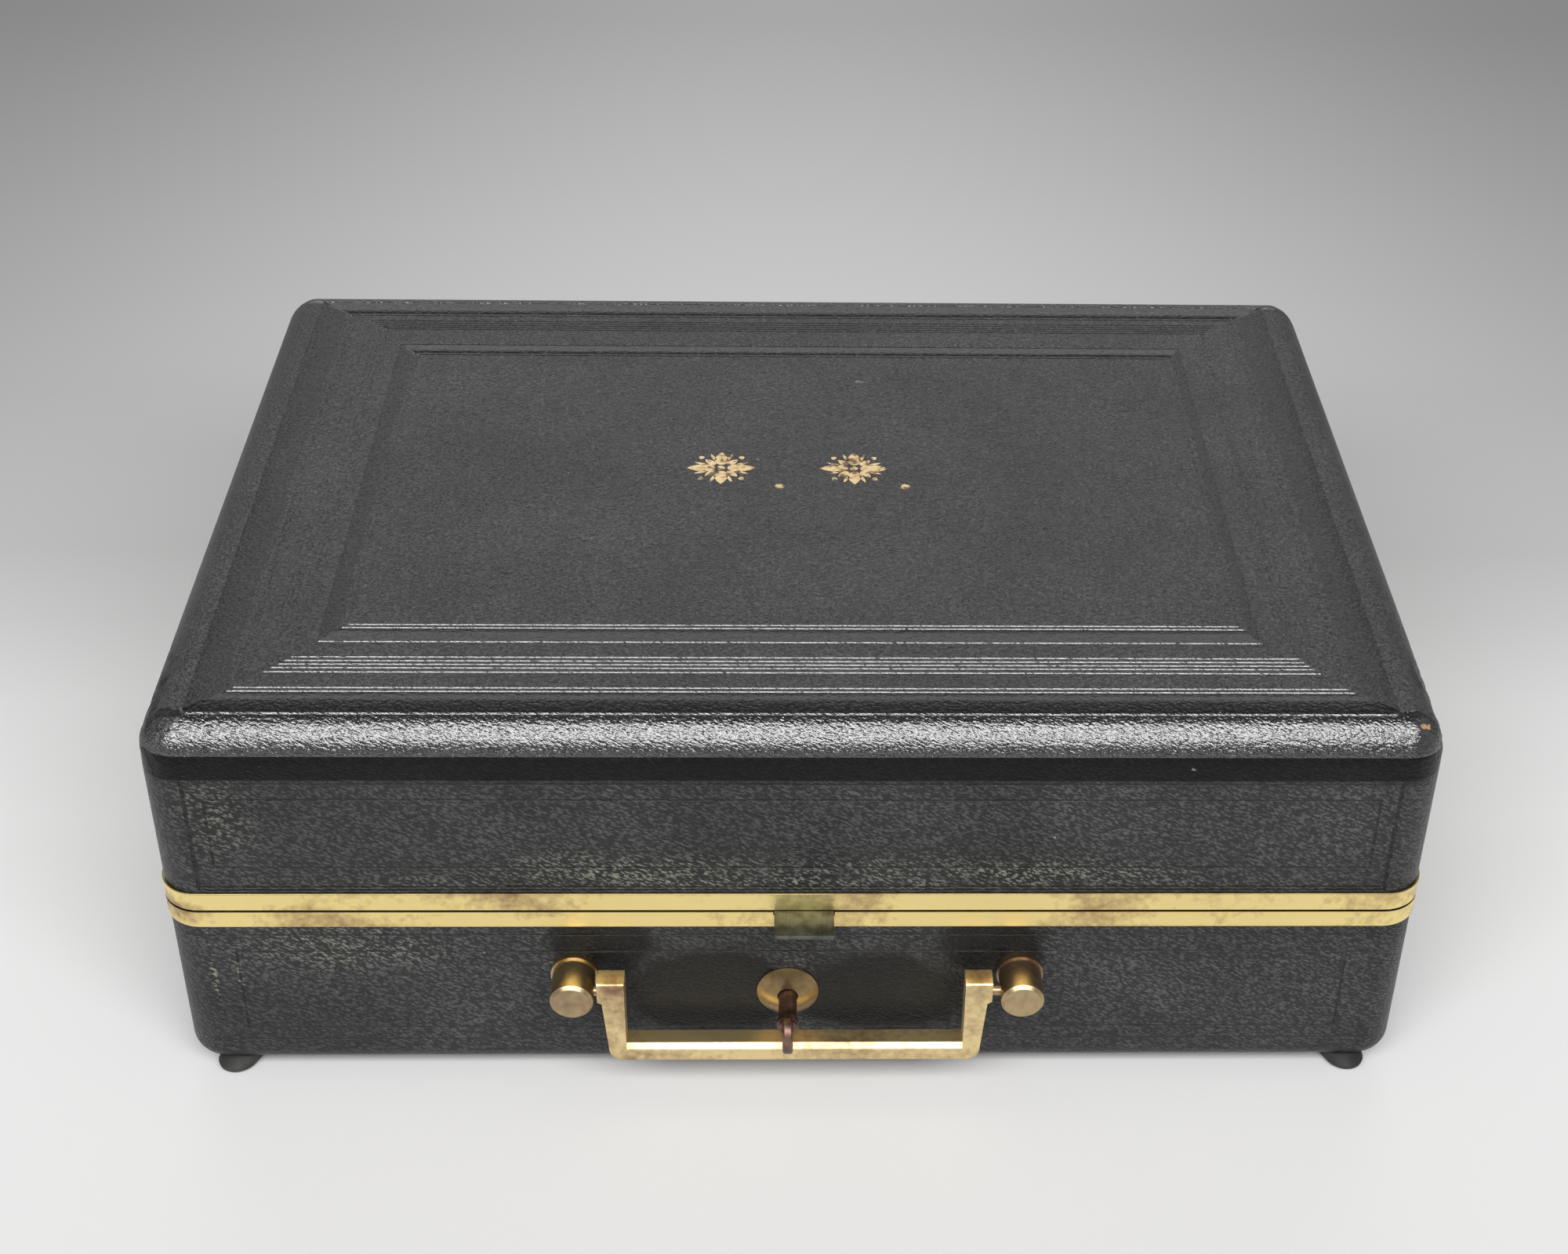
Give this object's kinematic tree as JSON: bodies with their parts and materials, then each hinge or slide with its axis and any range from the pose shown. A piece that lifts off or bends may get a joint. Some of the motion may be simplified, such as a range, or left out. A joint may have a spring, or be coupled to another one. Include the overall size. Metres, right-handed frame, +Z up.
{
  "type": "dressing box",
  "caption": "Leather-covered travelling dressing box with a deep hinged lid, brass rims, front lock with key, bail handle, and a fitted tray of bottles, boxes and brushes.",
  "frame": {"origin": "on the ground plane under the middle of the whole box, key, handle and hinges included", "axes": "+X to the right along the long side as seen from the front, +Y from the front with the lock to the hinged back, +Z up"},
  "size_m": [0.3612, 0.2918, 0.1303],
  "materials": {
    "black_leather": "black grained goatskin, semi-gloss, blind tooled",
    "case_wood": "planed mahogany",
    "lining": "smooth dark red leather",
    "tray_lining": "dark red velvet over wood",
    "bright_brass": "polished brass with tarnish",
    "aged_brass": "aged brass",
    "key_steel": "brown patina",
    "worn_steel": "dull, scratched",
    "screw_steel": "dull",
    "polished_steel": "polished",
    "foot_rubber": "black, dull",
    "frame_leather": "dark leather over a wooden moulding",
    "silvered_glass": "silvered mirror glass",
    "horn": "polished mottled horn",
    "pearl": "mother-of-pearl",
    "cut_glass": "clear cut glass",
    "silver_plate": "silver plate with light tarnish",
    "ebony": "polished ebony",
    "bristle": "pale hog bristle"
  },
  "bodies": {
    "case": {"body_carcass": "case_wood", "body_frame": "bright_brass", "body_leather": "black_leather", "body_lining": "lining", "bottle_stoppers": "cut_glass", "comb": "horn", "escutcheon": "aged_brass", "feet": "foot_rubber", "fitting_tray": "tray_lining", "foot_nails": "screw_steel", "hair_brush_back_1": "ebony", "hair_brush_back_2": "ebony", "hair_brush_bristles_1": "bristle", "hair_brush_bristles_2": "bristle", "handle_nuts": "aged_brass", "handle_pivot_pin_left": "aged_brass", "handle_pivot_pin_right": "aged_brass", "handle_post_left": "aged_brass", "handle_post_right": "aged_brass", "handle_washers": "aged_brass", "hinge_leaf_body_left": "aged_brass", "hinge_leaf_body_right": "aged_brass", "hinge_pin_left": "aged_brass", "hinge_pin_right": "aged_brass", "hinge_screws_body": "aged_brass", "lock_case": "worn_steel", "lock_cover": "worn_steel", "lock_screws": "screw_steel", "powder_jar_1": "cut_glass", "powder_jar_2": "cut_glass", "powder_jar_lid_1": "silver_plate", "powder_jar_lid_2": "silver_plate", "scent_bottle_1": "cut_glass", "scent_bottle_2": "cut_glass", "scent_bottle_3": "cut_glass", "scent_bottle_4": "cut_glass", "scent_bottle_cap_1": "silver_plate", "scent_bottle_cap_2": "silver_plate", "scent_bottle_cap_3": "silver_plate", "scent_bottle_cap_4": "silver_plate", "soap_box": "cut_glass", "soap_box_lid": "silver_plate", "tool_handles": "pearl", "tool_steels": "polished_steel", "toothbrush_box": "cut_glass", "toothbrush_box_lid": "silver_plate"},
    "lid": {"lid_carcass": "case_wood", "lid_leather": "black_leather", "lid_frame": "bright_brass", "lid_lining": "lining", "mirror_frame": "frame_leather", "mirror_glass": "silvered_glass", "hasp": "worn_steel", "hasp_screws": "screw_steel", "hinge_leaf_lid_left": "aged_brass", "hinge_leaf_lid_right": "aged_brass", "hinge_screws_lid": "aged_brass"},
    "handle": {"handle_bail": "bright_brass"},
    "key": {"key": "key_steel"},
    "bolt": {"lock_bolt": "worn_steel"}
  },
  "joints": [
    {"name": "lid_hinge", "type": "hinge", "parent": "case", "child": "lid", "pos_m": [0, 0.1433, 0.0655], "axis": [-1, 0, 0], "range_deg": [0, 100]},
    {"name": "handle_swing", "type": "hinge", "parent": "case", "child": "handle", "pos_m": [-0.0001, -0.1309, 0.0424], "axis": [-1, 0, 0], "range_deg": [-8, 150]},
    {"name": "key_turn", "type": "hinge", "parent": "case", "child": "key", "pos_m": [-0.0022, -0.1222, 0.0344], "axis": [0, -1, 0], "range_deg": [0, 90]},
    {"name": "bolt_slide", "type": "slide", "parent": "case", "child": "bolt", "axis": [1, 0, 0], "range_m": [0, 0.006]}
  ],
  "couplings": [
    {"joint": "key_turn", "follows": "bolt_slide", "rad_per_m": 261.79}
  ]
}
